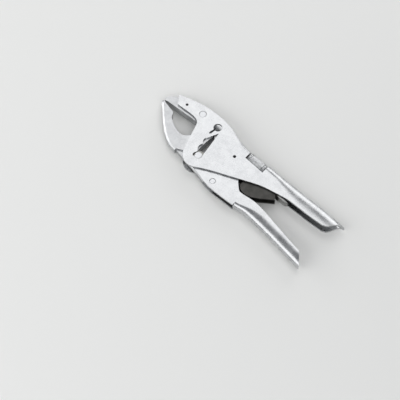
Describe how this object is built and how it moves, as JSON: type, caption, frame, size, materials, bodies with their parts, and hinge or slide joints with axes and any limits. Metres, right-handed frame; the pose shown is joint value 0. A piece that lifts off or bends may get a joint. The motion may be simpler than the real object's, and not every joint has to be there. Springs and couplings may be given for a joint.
{
  "type": "locking pliers",
  "caption": "Locking pliers with a straight-faced jaw, a shiftable jaw pivot, a thumb nut in a window and a release lever between two folded grips",
  "frame": {"origin": "middle of the overall box, on the surface the tool lies on", "axes": "+X runs from the jaws to the handle ends, +Y from the moving handle to the fixed handle, +Z across the two cheeks"},
  "size_m": [0.237, 0.0846, 0.014],
  "materials": {
    "satin_plated_sheet": "satin nickel-chrome plating over a tumbled sheet stamping",
    "satin_plated_forging": "satin nickel-chrome plating over a tumbled forging",
    "flush_rivet_steel": "rivet heads ground flush, then plated",
    "dark_pin_steel": "oiled dark steel pin",
    "washer_steel": "plain stamped washer",
    "blackened_link_steel": "oil-blackened forged bar",
    "screw_steel": "rolled thread, lightly oiled",
    "bright_nut_steel": "bright plated, diamond knurled",
    "dull_lever_steel": "dull plated stamping",
    "spring_wire": "drawn spring wire"
  },
  "bodies": {
    "frame_body": {"fixed_handle": "satin_plated_sheet", "fixed_jaw": "satin_plated_forging", "fixed_jaw_rivet": "flush_rivet_steel", "fixed_jaw_locating_pin": "dark_pin_steel", "jaw_pivot_pin": "flush_rivet_steel", "jaw_pivot_washer_near": "washer_steel", "jaw_pivot_washer_far": "washer_steel", "spring_anchor_pin": "dark_pin_steel", "return_spring": "spring_wire"},
    "jaw_body": {"moving_jaw": "satin_plated_forging", "spring_hook_pin": "dark_pin_steel"},
    "handle_body": {"moving_handle": "satin_plated_sheet", "handle_rivet": "flush_rivet_steel"},
    "screw_body": {"adjusting_screw": "screw_steel", "screw_stop_ring": "screw_steel", "link_eye_pin": "dark_pin_steel"},
    "nut_body": {"adjusting_nut": "bright_nut_steel"},
    "link_body": {"toggle_link": "blackened_link_steel", "toggle_pin": "dark_pin_steel"},
    "lever_body": {"release_lever": "dull_lever_steel"}
  },
  "joints": [
    {"name": "handle_pivot", "type": "hinge", "parent": "jaw_body", "child": "handle_body", "pos_m": [-0.01598, -0.02135, 0.007], "axis": [0, 0, -1], "range_deg": [0, 61.3]},
    {"name": "jaw_pivot", "type": "hinge", "parent": "frame_body", "child": "jaw_body", "pos_m": [-0.04588, -0.00795, 0.007], "axis": [0, 0, 1], "range_deg": [0, 16.1], "deforming": ["return_spring"]},
    {"name": "nut_spin", "type": "hinge", "parent": "frame_body", "child": "nut_body", "pos_m": [0.00502, 0.02385, 0.007], "axis": [0.9946, -0.1041, 0], "range_deg": [0, 1441]},
    {"name": "screw_slide", "type": "slide", "parent": "frame_body", "child": "screw_body", "axis": [0.9946, -0.1041, 0], "range_m": [0, 0.004]},
    {"name": "link_pivot", "type": "hinge", "parent": "screw_body", "child": "link_body", "pos_m": [0.03752, 0.02045, 0.007], "axis": [0, 0, 1], "range_deg": [0, 13.1]},
    {"name": "release_lever_pivot", "type": "hinge", "parent": "link_body", "child": "lever_body", "pos_m": [0.03752, 0.02045, 0.007], "axis": [0, 0, 1], "range_deg": [0, 3], "stiffness_Nm_per_rad": 0.05}
  ],
  "couplings": [
    {"joint": "jaw_pivot", "follows": "handle_pivot", "ratio": 0.261},
    {"joint": "link_pivot", "follows": "handle_pivot", "ratio": 0.2131},
    {"joint": "nut_spin", "follows": "screw_slide", "rad_per_m": 6283.2}
  ]
}
